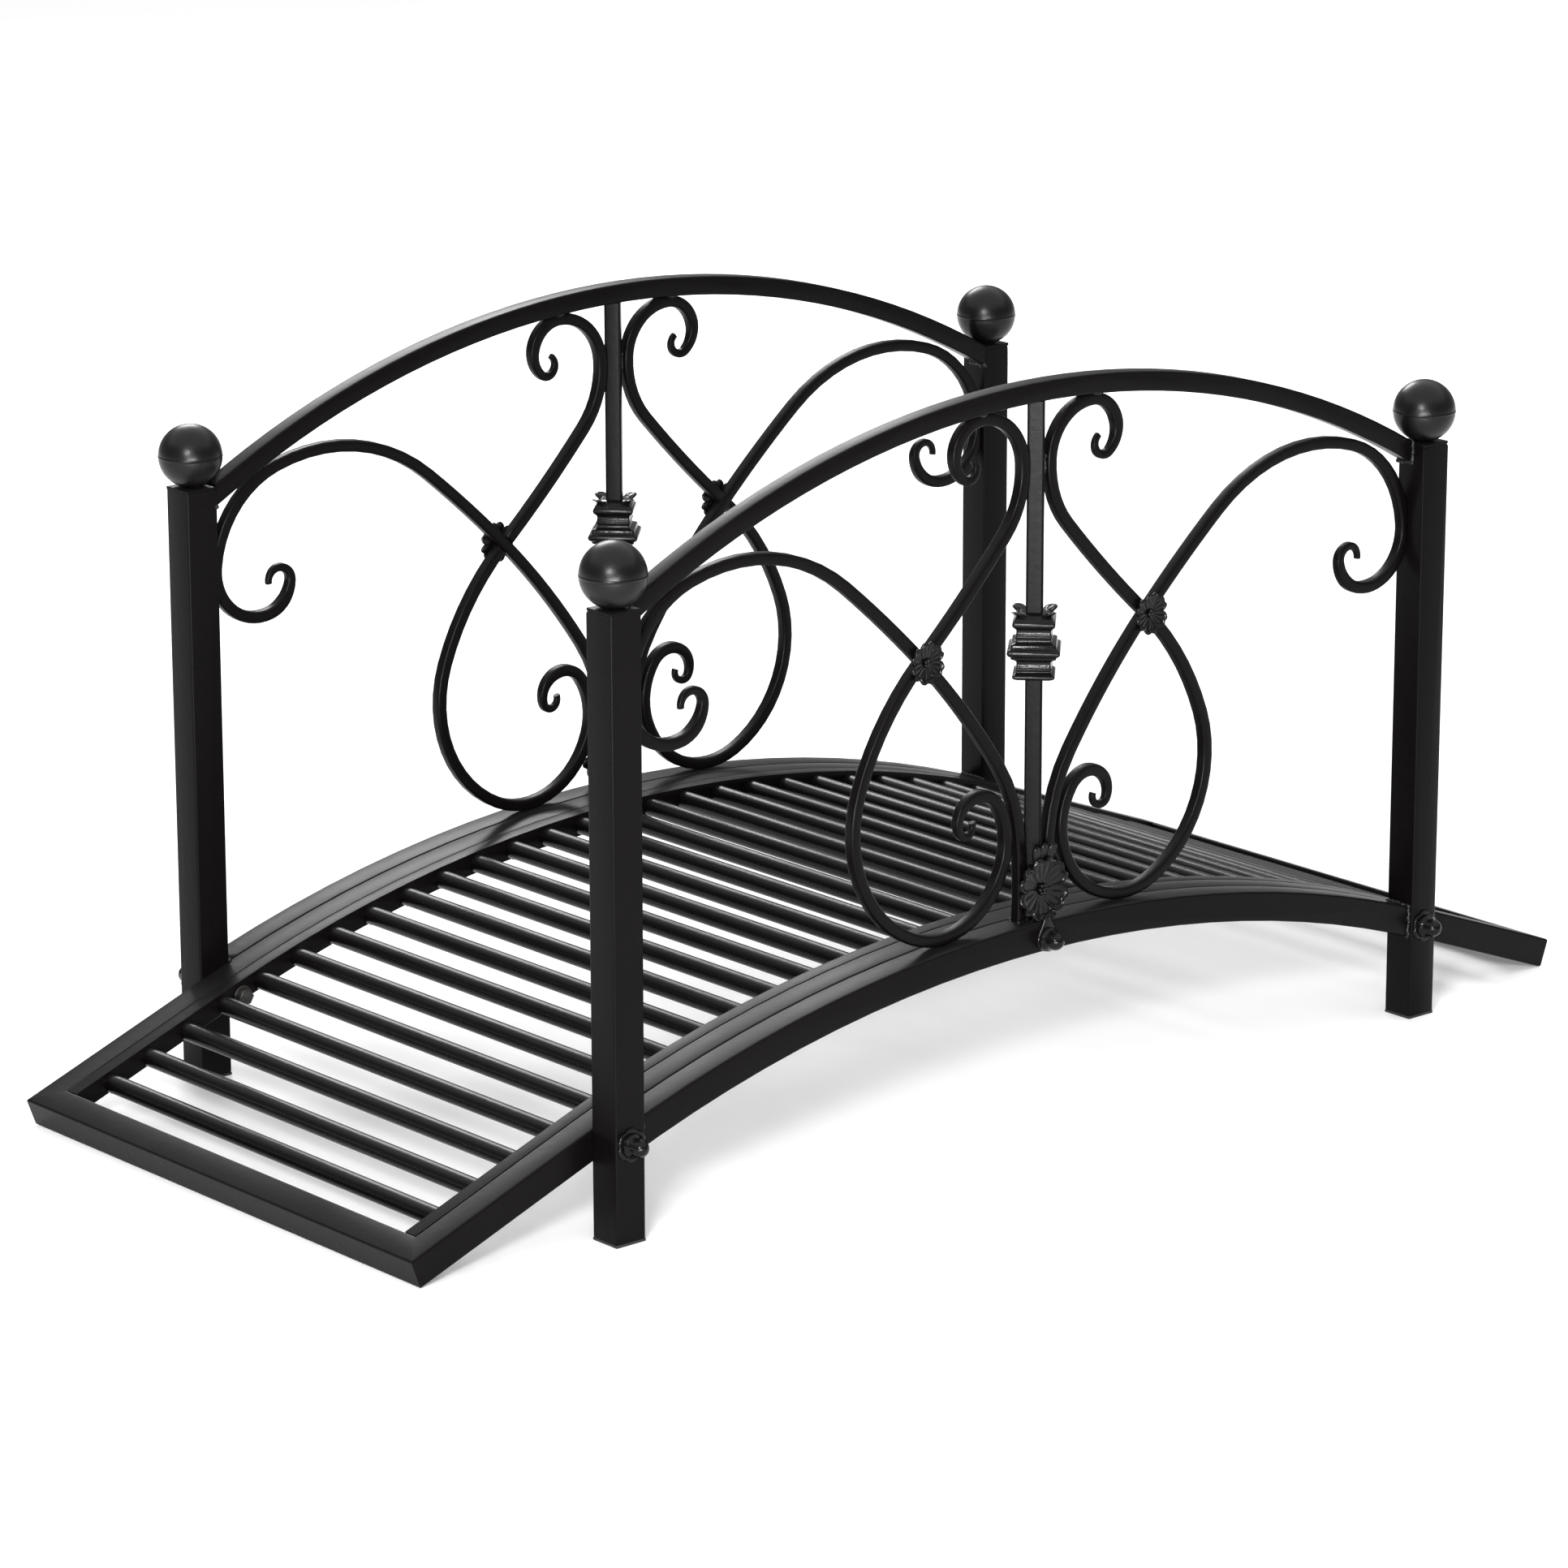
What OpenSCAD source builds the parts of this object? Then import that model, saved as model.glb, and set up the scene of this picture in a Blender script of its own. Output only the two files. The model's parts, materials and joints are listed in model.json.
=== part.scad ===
/* [Deck] */
// Overall length between the outer top corners of the two end bars
overall_length = 1000; // [900:10:1300]
// Outside width of the deck across its two side rails
deck_width = 407; // [320:1:600]
// Height of the deck's side rails at mid span
deck_crest = 136.6; // [110:0.1:150]
// Slope of the two straight ramps
ramp_angle = 20.5; // [18:0.5:24]
// Square tube of the deck's side rails and end bars
deck_tube = 20; // [16:0.5:26]
// Wall of the deck tubes
deck_wall = 1.5; // [1:0.1:2.5]
// Width of the inner strip that carries the slats
strip_width = 10; // [8:0.5:14]
// Depth of the inner strip
strip_depth = 12; // [8:0.5:14]
// Diameter of the round slats
slat_diameter = 12.5; // [9:0.5:16]
// Wall of the round slats
slat_wall = 1.2; // [0.8:0.1:2]
// Distance between slats along the deck
slat_pitch = 30.2; // [22:0.1:40]
// Depth of the slats' tops below the rails' tops
slat_drop = 2.5; // [1:0.5:4]

/* [Posts] */
// Distance between the post centres along the deck
post_spacing = 696.8; // [600:0.1:840]
// Height of the posts with their caps
post_height = 399.5; // [330:0.5:480]
// Square tube of the posts
post_size = 23.2; // [18:0.2:30]
// Wall of the posts
post_wall = 1.5; // [1:0.1:2.5]
// Thickness of the cap plate
cap_thickness = 2; // [1.5:0.5:3]
// Thickness of the plastic foot's flange
foot_thickness = 2; // [1.5:0.5:4]
// Depth of the plastic foot inside the post
foot_depth = 14; // [8:1:20]
// Diameter of the ball finials
ball_diameter = 42; // [32:1:50]
// Wall of the ball finials
ball_wall = 1.5; // [1:0.1:2.5]
// Flat on each ball where it is welded to its cap
ball_flat = 10.6; // [8:0.2:14]
// Least room between a ball and the top rail under it
ball_clearance = 0.3; // [0:0.1:1]

/* [Panels] */
// Square tube of the arched top rails
top_rail_size = 13; // [10:0.5:16]
// Height of the top rails at mid span
top_rail_crest = 488.5; // [440:0.5:600]
// Height of the top rails where they meet the posts
top_rail_end = 401; // [330:0.5:480]
// Wall of the top rails
top_rail_wall = 1.2; // [0.8:0.1:2]
// Square bar of the scrolls
bar_size = 8; // [6:0.5:9]
// Square centre bar, set on its corner
centre_bar_size = 11; // [9:0.5:12]
// Square of the collar's middle ridge
collar_size = 34; // [30:1:38]
// Height of the collar's middle ridge
collar_height = 315; // [300:1:330]
// Diameter of the rosettes on the crossings
rosette_diameter = 28; // [24:1:32]
// Width over the petals of the centre flowers
flower_diameter = 41; // [36:1:44]

/* [Bolts] */
// Diameter of the bolts
bolt_diameter = 6; // [5:0.5:6.5]
// Clearance of each bolt in its holes, on the diameter
bolt_clearance = 0.5; // [0.3:0.1:1]
// Size of the bolt heads across their flats
head_flats = 10; // [8:0.5:11]
// Diameter of the cap nuts' flanges
nut_flange = 16; // [13:0.5:18]
// Diameter of the cap nuts' domes
nut_dome = 12; // [10:0.5:13]
// Diameter of the scalloped washers
washer_diameter = 22; // [18:0.5:23]
// Height of the middle bolts above the underside of the side rails
middle_bolt_rise = 8.5; // [7:0.5:12]

/* [Hidden] */
$fn = 48;
eps = 0.01;
reach = 1000;
mitre_margin = 6;
bend_step = 7.5;
bend_chord = 14;

// Deck profile: two straight ramps tangent to one arc, measured from the lower edge
under_crest = deck_crest - deck_tube;
ramp_end = overall_length / 2 - deck_tube * sin(ramp_angle);
deck_radius = (ramp_end * tan(ramp_angle) - under_crest) / (1 / cos(ramp_angle) - 1);

// Widths across the deck
rail_outer = deck_width / 2;
rail_inner = rail_outer - deck_tube;
strip_inner = rail_inner - strip_width;
panel_plane = rail_outer + top_rail_size / 2;

// Panel opening between two posts
post_x = post_spacing / 2;
post_y = rail_outer + post_size / 2;
opening = post_x - post_size / 2;
rail_rise = top_rail_crest - top_rail_end;
top_rail_radius = (opening * opening + rail_rise * rail_rise) / (2 * rail_rise);

// Room that the scrolls' centre lines are drawn for: nearest and furthest from the middle,
// then crest and radius of the lowest and highest lines
drawn_sides = [11.8, 332.8];
drawn_floor = [140.6, 1026];
drawn_roof = [471.5, 675];

scroll_inside = centre_bar_size / sqrt(2) + bar_size / 2;
scroll_outside = opening - bar_size / 2;

// Scrolls: start, heading at the start, then radius and turn of each bend, out and back
crossing = [97, 322.5];
post_heading = 45;
post_bends = [[900, -5.5], [133, -57], [71.5, -66.5], [34.5, -110], [23, -68.5], [9, -98.5], [8.5, -98.5]];
tail_bends = [[540, 11], [109, 29], [434, 8.6]];
heart_heading = 138.4;
heart_bends = [[858, -6.6], [61, -45.5], [35.4, -87.4], [22.7, -74.9], [18.7, -64.7], [7.3, -185]];
loop_bends = [[190.5, -16.2], [180, -12.2], [83.4, -85], [57.6, -97], [45.8, -53.3], [18.5, -102.7],
              [15, -59.5], [6.2, -186.5]];
tip_share = 0.5;
tip_length = 45;

// Balls, collars, flowers and fasteners
ball_drop = (ball_diameter - sqrt(ball_diameter * ball_diameter - ball_flat * ball_flat)) / 2;
collar_ridge = collar_size - 7;
collar_cove = collar_size - 12;
collar_reach = 17;
rosette_thickness = 5;
rosette_petals = 6;
flower_thickness = 4.5;
flower_petals = 5;
flower_gap = 1;
washer_thickness = 2;
head_height = 4;
flat_washer = 14;
flat_washer_thickness = 1.5;
nut_height = 13;
nut_depth = 9;
insert_wall = 1.5;
insert_length = 14;
bolt_hole = bolt_diameter + bolt_clearance;
post_bolt_z = deck_z(post_x, deck_tube / 2);
middle_bolt_z = under_crest + middle_bolt_rise;
slat_centre = deck_tube - slat_drop - slat_diameter / 2;
slat_limit = ramp_end - deck_tube - slat_diameter;
slat_side_count = floor(slat_limit / slat_pitch);

black = [0.09, 0.09, 0.10];
satin = [0.14, 0.14, 0.15];
cast = [0.07, 0.07, 0.08];
plastic = [0.04, 0.04, 0.04];
zinc = [0.12, 0.12, 0.13];

ENDS = ["left", "right"];
SIDES = ["near", "far"];

// ---- Outlines ----

// Height of the deck profile at x, at a distance above its lower edge
function deck_z(x, rise) =
    let (radius = deck_radius + rise)
    abs(x) <= radius * sin(ramp_angle)
        ? under_crest - deck_radius + sqrt(radius * radius - x * x)
        : (ramp_end + rise * sin(ramp_angle) - abs(x)) * tan(ramp_angle) + rise * cos(ramp_angle);

// One edge of the deck profile, left to right, its ends set back along the ramps
function deck_edge(rise, setback = 0) =
    let (radius = deck_radius + rise,
         end = [ramp_end + rise * sin(ramp_angle) - setback * cos(ramp_angle),
                rise * cos(ramp_angle) + setback * sin(ramp_angle)])
    concat(
        [[-end.x, end.y]],
        [for (a = [-ramp_angle : ramp_angle / 12 : ramp_angle + eps])
            [radius * sin(a), under_crest - deck_radius + radius * cos(a)]],
        [end]
    );

// Height of the top rail's underside raised by some distance, at x
function roof_z(x, rise) =
    let (radius = top_rail_radius - top_rail_size + rise)
    top_rail_crest - top_rail_radius + sqrt(radius * radius - x * x);

function reversed(list) = [for (i = [len(list) - 1 : -1 : 0]) list[i]];
function band(low, high) = concat(low, reversed(high));
function turned(v) = [-v.y, v.x];
function unit(v) = v / norm(v);

// Where a bend that starts at p with a heading is after it has turned
function bend_point(p, heading, bend, turn) =
    let (side = sign(bend[1]) * bend[0])
    p + side * [sin(heading + turn) - sin(heading), cos(heading) - cos(heading + turn)];

// Points along a chain of tangent bends
function chain(p, heading, bends, i = 0) =
    i >= len(bends) ? [p] :
    let (turn = abs(bends[i][1]), length = bends[i][0] * turn * PI / 180,
         steps = ceil(max(turn / bend_step, length / bend_chord)), part = bends[i][1] / steps)
    concat(
        [for (k = [0 : steps - 1]) bend_point(p, heading, bends[i], k * part)],
        chain(bend_point(p, heading, bends[i], bends[i][1]), heading + bends[i][1], bends, i + 1)
    );

// Moves a drawn point to the same place in the room that the panel really has
function drawn_z(line, x) = line[0] - line[1] + sqrt(line[1] * line[1] - x * x);
function fitted(p) =
    let (low = drawn_z(drawn_floor, p.x), high = drawn_z(drawn_roof, p.x),
         share = (p.y - low) / (high - low),
         across = (p.x - drawn_sides[0]) / (drawn_sides[1] - drawn_sides[0]),
         x = scroll_inside * (1 - across) + scroll_outside * across)
    [x, deck_z(x, deck_tube + bar_size / 2) * (1 - share) + roof_z(x, -bar_size / 2) * share];
function fitted_chain(heading, bends) = [for (p = chain(crossing, heading, bends)) fitted(p)];

// Length left along a path after each of its points
function left_over(path) =
    let (steps = [for (i = [0 : len(path) - 2]) norm(path[i + 1] - path[i])])
    [for (i = 0, rest = sum(steps); i < len(path); rest = rest - (i < len(steps) ? steps[i] : 0), i = i + 1)
        rest];
function sum(list, i = 0) = i >= len(list) ? 0 : list[i] + sum(list, i + 1);

// Outline of a flat bar along a path, drawn down to a thinner tip
function bar_outline(path, tip) =
    let (last = len(path) - 1, rest = left_over(path),
         across = [for (i = [0 : last])
            turned(unit(path[min(i + 1, last)] - path[max(i - 1, 0)]))],
         half = [for (i = [0 : last])
            bar_size / 2 * (1 - (1 - tip) * max(0, 1 - rest[i] / tip_length))])
    concat(
        [for (i = [0 : last]) path[i] + half[i] * across[i]],
        [for (i = [last : -1 : 0]) path[i] - half[i] * across[i]]
    );

heart_path = fitted_chain(heart_heading, heart_bends);
loop_path = fitted_chain(heart_heading + 180, loop_bends);
post_path = concat(
    reversed(fitted_chain(post_heading + 180, tail_bends)),
    [for (i = [1 : len(fitted_chain(post_heading, post_bends)) - 1])
        fitted_chain(post_heading, post_bends)[i]]
);
crossing_point = fitted(crossing);

// ---- Shared shapes ----

// Extrudes an outline drawn in X and Z between two values of Y
module upright(y0, y1) {
    translate([0, y1, 0]) rotate([90, 0, 0]) linear_extrude(y1 - y0) children();
}

// Copies its children to the far side, or leaves them on the near side
module on_side(side) {
    if (side == "far") mirror([0, 1, 0]) children();
    else children();
}

module on_end(end) {
    if (end == "left") mirror([1, 0, 0]) children();
    else children();
}

module everywhere() {
    for (side = SIDES, end = ENDS) on_side(side) on_end(end) children();
}

// Round bar or hole along Y, at a place on the near side
module across_y(diameter, x, z, y0, y1) {
    translate([x, y1, z]) rotate([90, 0, 0]) cylinder(d = diameter, h = y1 - y0);
}

// ---- Deck ----

// Lies in the right-hand ramp's own frame: X along the ramp from its end, Z square to it
module on_ramp() {
    translate([ramp_end, 0, 0]) rotate([0, ramp_angle, 0]) children();
}

// Mitred bar between two walls, its ends carried past the mitres by a margin
module end_bar_solid(wall, margin) {
    on_ramp() translate([0, 0, wall]) linear_extrude(deck_tube - 2 * wall) polygon([
        [-wall, rail_outer - wall + margin],
        [-deck_tube + wall, rail_inner + wall + margin],
        [-deck_tube + wall, -rail_inner - wall - margin],
        [-wall, -rail_outer + wall - margin]
    ]);
}

// What the near end of the mitre takes off a side rail
module mitre_cut() {
    on_ramp() translate([0, 0, -mitre_margin]) linear_extrude(deck_tube + 2 * mitre_margin) polygon([
        [-deck_tube - mitre_margin, -rail_inner + mitre_margin],
        [mitre_margin, -rail_outer - mitre_margin],
        [2 * mitre_margin, -rail_inner + mitre_margin]
    ]);
}

module deck_side_rail() {
    color(black) difference() {
        upright(-rail_outer, -rail_inner) polygon(band(deck_edge(0), deck_edge(deck_tube)));
        upright(-rail_outer + deck_wall, -rail_inner - deck_wall)
            polygon(band(deck_edge(deck_wall, -mitre_margin), deck_edge(deck_tube - deck_wall, -mitre_margin)));
        for (end = ENDS) on_end(end) {
            mitre_cut();
            across_y(bolt_hole, post_x, post_bolt_z, -rail_outer - eps, -rail_inner + eps);
        }
        across_y(insert_outer, 0, middle_bolt_z, -rail_outer - eps, -rail_outer + 2 * deck_wall);
    }
}

module deck_end_bar() {
    color(black) difference() {
        end_bar_solid(0, 0);
        end_bar_solid(deck_wall, mitre_margin);
    }
}

module slat_strip() {
    color(black) difference() {
        upright(-rail_inner, -strip_inner)
            polygon(band(deck_edge(deck_tube - strip_depth, deck_tube), deck_edge(deck_tube, deck_tube)));
        for (end = ENDS) on_end(end)
            across_y(bolt_hole, post_x, post_bolt_z, -rail_inner - eps, -strip_inner + eps);
    }
}

module deck_slats() {
    color(satin) for (i = [-slat_side_count : slat_side_count]) difference() {
        across_y(slat_diameter, i * slat_pitch, deck_z(i * slat_pitch, slat_centre), -strip_inner, strip_inner);
        across_y(slat_diameter - 2 * slat_wall, i * slat_pitch, deck_z(i * slat_pitch, slat_centre),
            -strip_inner - eps, strip_inner + eps);
    }
}

// ---- Posts ----

module square_post(size, z0, z1) {
    translate([post_x - size / 2, -post_y - size / 2, z0]) cube([size, size, z1 - z0]);
}

module post() {
    color(black) difference() {
        square_post(post_size, foot_thickness, post_height - cap_thickness);
        square_post(post_size - 2 * post_wall, 0, post_height);
        across_y(bolt_hole, post_x, post_bolt_z, -post_y - post_size, -rail_outer + eps);
    }
}

module post_caps() {
    color(black) everywhere() square_post(post_size, post_height - cap_thickness, post_height);
}

module post_feet() {
    color(plastic) everywhere() {
        square_post(post_size, 0, foot_thickness);
        square_post(post_size - 2 * post_wall, foot_thickness, foot_thickness + foot_depth);
    }
}

// Moves things from the origin to the ball's middle
module at_ball() {
    translate([post_x, -post_y, post_height + ball_diameter / 2 - ball_drop]) children();
}

module ball() {
    color(satin) at_ball() difference() {
        sphere(d = ball_diameter);
        sphere(d = ball_diameter - 2 * ball_wall);
        translate([-reach / 2, -reach / 2, ball_drop - ball_diameter / 2 - reach]) cube(reach);
    }
}

// ---- Panels ----

module top_rail_band(wall, half) {
    intersection() {
        translate([0, top_rail_crest - top_rail_radius]) difference() {
            circle(top_rail_radius - wall, $fn = 180);
            circle(top_rail_radius - top_rail_size + wall, $fn = 180);
        }
        translate([-half, 0]) square([2 * half, reach]);
    }
}

module top_rail_solid() {
    upright(-rail_outer - top_rail_size, -rail_outer) top_rail_band(0, opening);
}

module top_rail() {
    color(black) difference() {
        top_rail_solid();
        upright(-rail_outer - top_rail_size + top_rail_wall, -rail_outer - top_rail_wall)
            top_rail_band(top_rail_wall, opening + eps);
        for (flip = [0, 1]) mirror([flip, 0, 0]) at_ball() sphere(d = ball_diameter + 2 * ball_clearance);
    }
}

module bottom_rail_band(wall, half) {
    intersection() {
        polygon(band(deck_edge(wall), deck_edge(deck_tube - wall)));
        translate([-half, 0]) square([2 * half, reach]);
    }
}

module bottom_rail_solid() {
    upright(-rail_outer - deck_tube, -rail_outer) bottom_rail_band(0, opening);
}

module bottom_rail() {
    color(black) difference() {
        bottom_rail_solid();
        upright(-rail_outer - deck_tube + deck_wall, -rail_outer - deck_wall)
            bottom_rail_band(deck_wall, opening + eps);
        across_y(bolt_hole, 0, middle_bolt_z, -rail_outer - deck_tube - eps, -rail_outer + eps);
    }
}

// The centre bar's column, from the middle of one rail to the middle of the other
module centre_bar_solid() {
    foot = deck_crest - deck_tube / 2;
    translate([0, -panel_plane, foot]) rotate([0, 0, 45])
        translate([-centre_bar_size / 2, -centre_bar_size / 2, 0])
        cube([centre_bar_size, centre_bar_size, top_rail_crest - top_rail_size / 2 - foot]);
}

module centre_bar() {
    color(black) difference() {
        centre_bar_solid();
        upright(-panel_plane - centre_bar_size, -panel_plane + centre_bar_size) {
            top_rail_band(0, centre_bar_size);
            bottom_rail_band(0, centre_bar_size);
        }
    }
}

// Half profile of the collar: a middle ridge between two coves and two smaller ridges
function collar_half() = [
    [0, -collar_reach - 2], [centre_bar_size / 2 + 3, -collar_reach - 2], [collar_ridge / 2, -collar_reach + 1],
    [collar_ridge / 2, -collar_reach + 2.5], [collar_cove / 2, -collar_reach + 6],
    [collar_cove / 2, -6.5], [collar_ridge / 2 - 1, -4.5], [collar_size / 2, -1.5],
    [collar_size / 2, 1], [collar_ridge / 2, 4], [collar_cove / 2 + 1, 7.5], [collar_cove / 2, 9],
    [collar_cove / 2, collar_reach - 3.5], [collar_ridge / 2, collar_reach + 0.5],
    [collar_ridge / 2, collar_reach + 2.5], [collar_cove / 2, collar_reach + 7], [0, collar_reach + 7]
];

module collar_sweep() {
    rotate([90, 0, 0]) linear_extrude(collar_size, center = true)
        polygon(concat(collar_half(), reversed([for (p = collar_half()) if (p.x > 0) [-p.x, p.y]])));
}

module collar() {
    color(cast) difference() {
        translate([0, -panel_plane, collar_height]) rotate([0, 0, 45]) intersection() {
            collar_sweep();
            rotate([0, 0, 90]) collar_sweep();
        }
        centre_bar_solid();
    }
}

module scroll_bar(outline) {
    upright(-panel_plane - bar_size / 2, -panel_plane + bar_size / 2) polygon(outline);
}

// Everything that the scrolls are welded against
module panel_frame() {
    top_rail_solid();
    bottom_rail_solid();
    centre_bar_solid();
    square_post(post_size, 0, post_height);
}

module post_scroll() {
    color(black) difference() {
        scroll_bar(bar_outline(post_path, tip_share));
        panel_frame();
    }
}

module cut_scroll(path) {
    color(black) difference() {
        scroll_bar(bar_outline(path, tip_share));
        scroll_bar(bar_outline(post_path, tip_share));
        panel_frame();
    }
}

module heart_scroll() { cut_scroll(heart_path); }
module loop_scroll() { cut_scroll(loop_path); }

// Petalled outline: each petal bulges between two notches
function petals(diameter, count, notch) = [for (a = [0 : 6 : 359])
    diameter / 2 * (1 - notch * pow(abs(cos(a * count / 2)), 6)) * [sin(a), cos(a)]];

module rosette() {
    color(cast) translate([crossing_point.x, 0, crossing_point.y]) {
        upright(-panel_plane - bar_size / 2 - rosette_thickness / 2, -panel_plane - bar_size / 2)
            polygon(petals(rosette_diameter, rosette_petals, 0.2));
        across_y(rosette_diameter / 2, 0, 0, -panel_plane - bar_size / 2 - rosette_thickness,
            -panel_plane - bar_size / 2);
    }
}

flower_z = deck_crest + flower_diameter / 2 + flower_gap;
flower_back = panel_plane + centre_bar_size / sqrt(2);

module centre_flower() {
    color(cast) difference() {
        translate([0, 0, flower_z]) {
            upright(-flower_back - flower_thickness, -flower_back + 1)
                polygon(petals(flower_diameter, flower_petals, 0.25));
            across_y(flower_diameter / 4, 0, 0, -flower_back - 2 * flower_thickness, -flower_back);
        }
        centre_bar_solid();
    }
}

// ---- Bolts ----

insert_outer = bolt_diameter + 2 * insert_wall;
post_outer = post_y + post_size / 2;
bottom_rail_outer = rail_outer + deck_tube;

module at_post_bolts() {
    everywhere() children();
}

module post_bolts() {
    color(zinc) at_post_bolts() {
        across_y(bolt_diameter, post_x, post_bolt_z,
            -post_outer - washer_thickness - nut_depth, -strip_inner + flat_washer_thickness);
        translate([post_x, -strip_inner + flat_washer_thickness, post_bolt_z]) rotate([-90, 0, 0])
            cylinder(d = head_flats / cos(30), h = head_height, $fn = 6);
    }
}

module post_bolt_washers() {
    color(zinc) at_post_bolts() difference() {
        across_y(flat_washer, post_x, post_bolt_z, -strip_inner, -strip_inner + flat_washer_thickness);
        across_y(bolt_hole, post_x, post_bolt_z, -strip_inner - eps, -strip_inner + flat_washer_thickness + eps);
    }
}

module post_flower_washers() {
    color(cast) at_post_bolts() difference() {
        translate([post_x, 0, post_bolt_z]) upright(-post_outer - washer_thickness, -post_outer)
            polygon(petals(washer_diameter, rosette_petals, 0.14));
        across_y(bolt_hole, post_x, post_bolt_z, -post_outer - washer_thickness - eps, -post_outer + eps);
    }
}

// Domed nut that stands on the plane y, open towards the bolt
module cap_nut(x, z, y) {
    translate([x, y, z]) rotate([90, 0, 0]) difference() {
        rotate_extrude() polygon(concat(
            [[0, 0], [nut_flange / 2, 0], [nut_flange / 2, 1.5], [nut_dome / 2 + 0.6, 4]],
            [for (a = [0 : 15 : 90]) [nut_dome / 2 * cos(a), nut_height - nut_dome / 2 + nut_dome / 2 * sin(a)]]
        ));
        translate([0, 0, -eps]) cylinder(d = bolt_diameter, h = nut_depth + eps);
    }
}

module post_cap_nuts() {
    color(cast) at_post_bolts() cap_nut(post_x, post_bolt_z, -post_outer - washer_thickness);
}

module middle_bolts() {
    color(cast) for (side = SIDES) on_side(side) {
        translate([0, -bottom_rail_outer - washer_thickness, middle_bolt_z]) rotate([90, 0, 0])
            rotate_extrude() polygon(concat(
                [[0, 0], [nut_flange / 2, 0], [nut_flange / 2, 1.5], [nut_dome / 2 + 0.6, 4]],
                [for (a = [0 : 15 : 90])
                    [nut_dome / 2 * cos(a), nut_height - nut_dome / 2 + nut_dome / 2 * sin(a)]]
            ));
        across_y(bolt_diameter, 0, middle_bolt_z, -bottom_rail_outer - washer_thickness - eps,
            -rail_outer + insert_length);
    }
}

// Round leaf with its point upwards
function leaf(diameter) = concat([[0, diameter * 0.95]],
    [for (a = [20 : -10 : -200]) diameter / 2 * [cos(a), sin(a)]]);

module middle_leaf_washers() {
    color(cast) for (side = SIDES) on_side(side) difference() {
        translate([0, 0, middle_bolt_z]) upright(-bottom_rail_outer - washer_thickness, -bottom_rail_outer)
            polygon(leaf(nut_flange + 1));
        across_y(bolt_hole, 0, middle_bolt_z, -bottom_rail_outer - washer_thickness - eps,
            -bottom_rail_outer + eps);
    }
}

module middle_inserts() {
    color(zinc) for (side = SIDES) on_side(side) difference() {
        across_y(insert_outer, 0, middle_bolt_z, -rail_outer, -rail_outer + insert_length);
        across_y(bolt_diameter, 0, middle_bolt_z, -rail_outer - eps, -rail_outer + insert_length + eps);
    }
}

// ---- Nodes ----

on_side("near") deck_side_rail();  // deck_side_rail_near
on_side("far") deck_side_rail();  // deck_side_rail_far
on_end("left") deck_end_bar();  // deck_end_bar_left
on_end("right") deck_end_bar();  // deck_end_bar_right
on_side("near") slat_strip();  // slat_strip_near
on_side("far") slat_strip();  // slat_strip_far
deck_slats();
on_side("near") on_end("left") post();  // post_near_left
on_side("near") on_end("right") post();  // post_near_right
on_side("far") on_end("left") post();  // post_far_left
on_side("far") on_end("right") post();  // post_far_right
post_caps();
post_feet();
on_side("near") on_end("left") ball();  // ball_near_left
on_side("near") on_end("right") ball();  // ball_near_right
on_side("far") on_end("left") ball();  // ball_far_left
on_side("far") on_end("right") ball();  // ball_far_right
on_side("near") top_rail();  // top_rail_near
on_side("far") top_rail();  // top_rail_far
on_side("near") bottom_rail();  // bottom_rail_near
on_side("far") bottom_rail();  // bottom_rail_far
on_side("near") centre_bar();  // centre_bar_near
on_side("far") centre_bar();  // centre_bar_far
on_side("near") collar();  // collar_near
on_side("far") collar();  // collar_far
on_side("near") on_end("left") post_scroll();  // post_scroll_near_left
on_side("near") on_end("right") post_scroll();  // post_scroll_near_right
on_side("far") on_end("left") post_scroll();  // post_scroll_far_left
on_side("far") on_end("right") post_scroll();  // post_scroll_far_right
on_side("near") on_end("left") heart_scroll();  // heart_scroll_near_left
on_side("near") on_end("right") heart_scroll();  // heart_scroll_near_right
on_side("far") on_end("left") heart_scroll();  // heart_scroll_far_left
on_side("far") on_end("right") heart_scroll();  // heart_scroll_far_right
on_side("near") on_end("left") loop_scroll();  // loop_scroll_near_left
on_side("near") on_end("right") loop_scroll();  // loop_scroll_near_right
on_side("far") on_end("left") loop_scroll();  // loop_scroll_far_left
on_side("far") on_end("right") loop_scroll();  // loop_scroll_far_right
on_side("near") on_end("left") rosette();  // rosette_near_left
on_side("near") on_end("right") rosette();  // rosette_near_right
on_side("far") on_end("left") rosette();  // rosette_far_left
on_side("far") on_end("right") rosette();  // rosette_far_right
on_side("near") centre_flower();  // centre_flower_near
on_side("far") centre_flower();  // centre_flower_far
post_bolts();
post_bolt_washers();
post_flower_washers();
post_cap_nuts();
middle_bolts();
middle_leaf_washers();
middle_inserts();
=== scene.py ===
"""Finishes the arched garden bridge: rounds its steel, casts its ornament, runs its welds, lights it."""

import heapq
import json
import math
import random

import bpy
from bpy.props import FloatProperty, FloatVectorProperty, IntProperty, PointerProperty
from mathutils import Matrix, Vector
from mathutils.bvhtree import BVHTree

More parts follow.
